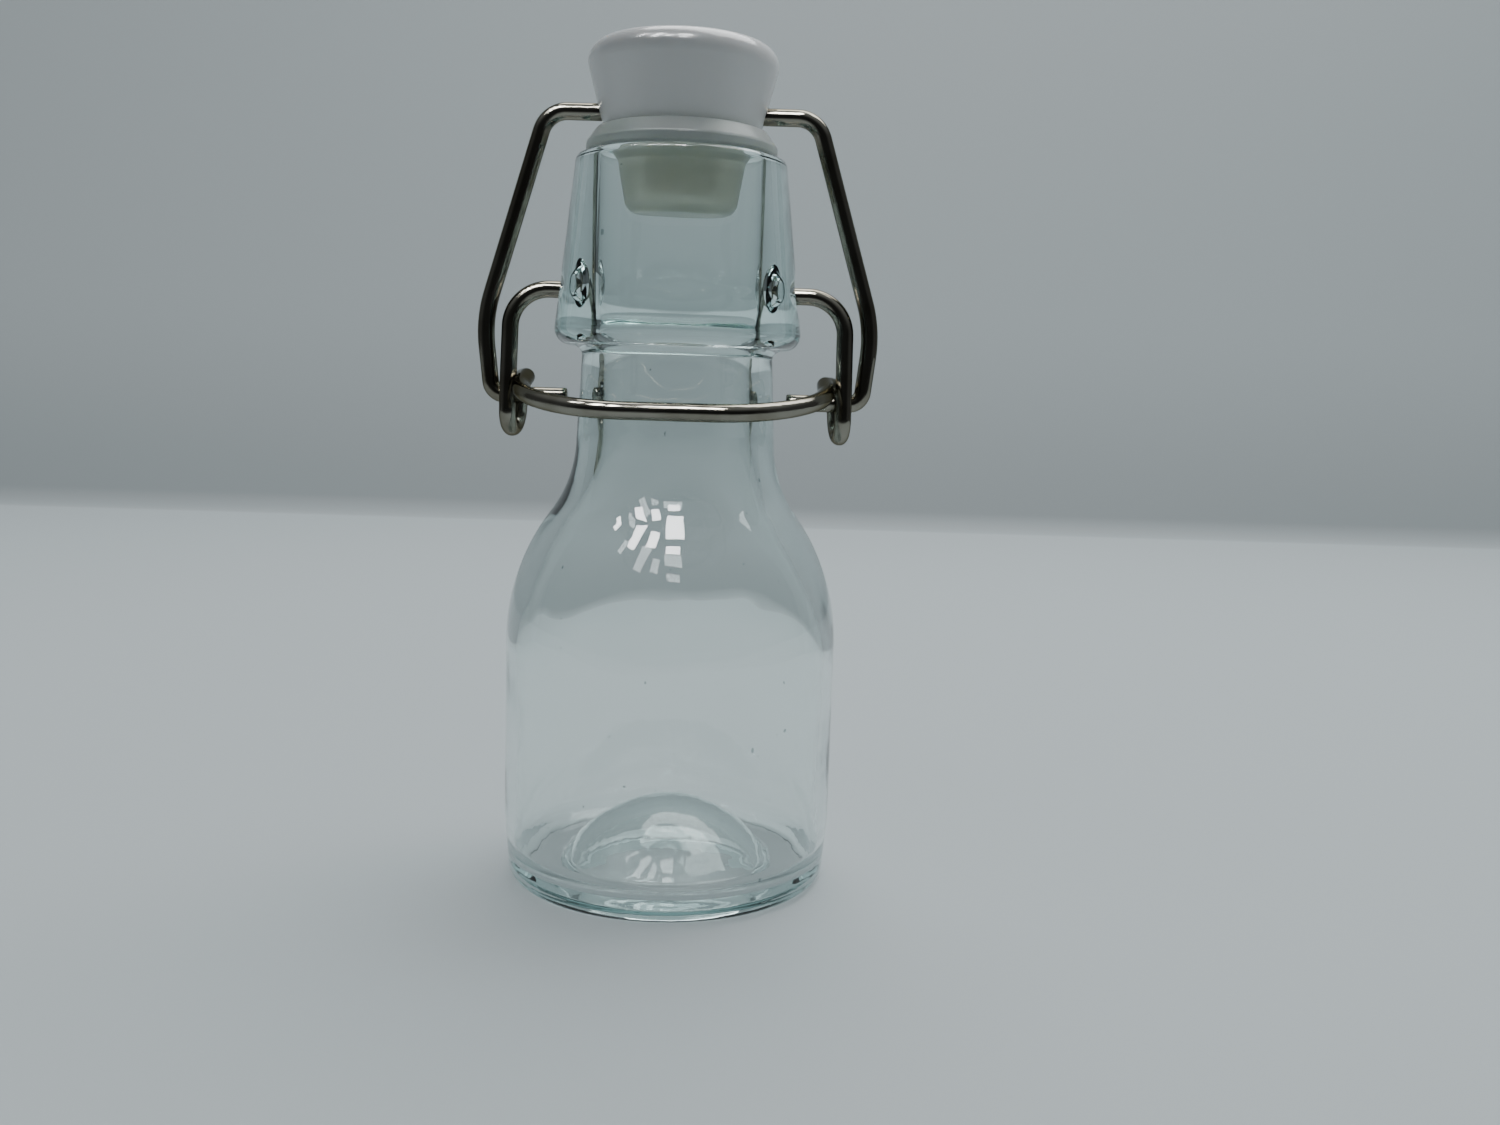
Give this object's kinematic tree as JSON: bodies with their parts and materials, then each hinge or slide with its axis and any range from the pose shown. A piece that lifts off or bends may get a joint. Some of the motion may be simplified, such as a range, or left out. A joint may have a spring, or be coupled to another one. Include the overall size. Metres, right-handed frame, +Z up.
{
  "type": "swing top bottle",
  "caption": "Small clear glass bottle with a swing top closure: a white stopper with a soft seal, held by a bent wire bail and a thumb lever.",
  "frame": {"origin": "centre of the ring that the bottle stands on", "axes": "+Z up along the bottle's axis, X along the closure's pivots, -Y towards the front, where the thumb bow is"},
  "size_m": [0.0478, 0.04, 0.1006],
  "materials": {
    "glass": "clear, faint aqua tint",
    "head": "glossy white",
    "seal": "milky, soft",
    "wire": "bright drawn wire"
  },
  "bodies": {
    "glass": {"bottle": "glass"},
    "lever": {"lever_wire": "wire"},
    "bail": {"bail_wire": "wire"},
    "stopper": {"stopper_head": "head", "seal": "seal"}
  },
  "joints": [
    {"name": "lever_swing", "type": "hinge", "parent": "glass", "child": "lever", "pos_m": [0, 0, 0.071], "axis": [-1, 0, 0], "range_deg": [0, 165]},
    {"name": "bail_swing", "type": "hinge", "parent": "lever", "child": "bail", "pos_m": [0, 0, 0.0584], "axis": [-1, 0, 0], "range_deg": [-115, 0]},
    {"name": "stopper_tilt", "type": "hinge", "parent": "bail", "child": "stopper", "pos_m": [0, 0, 0.0916], "axis": [-1, 0, 0], "range_deg": [-55, 0]}
  ],
  "couplings": [
    {"joint": "bail_swing", "follows": "lever_swing", "ratio": -0.68},
    {"joint": "stopper_tilt", "follows": "lever_swing", "ratio": -0.32}
  ]
}
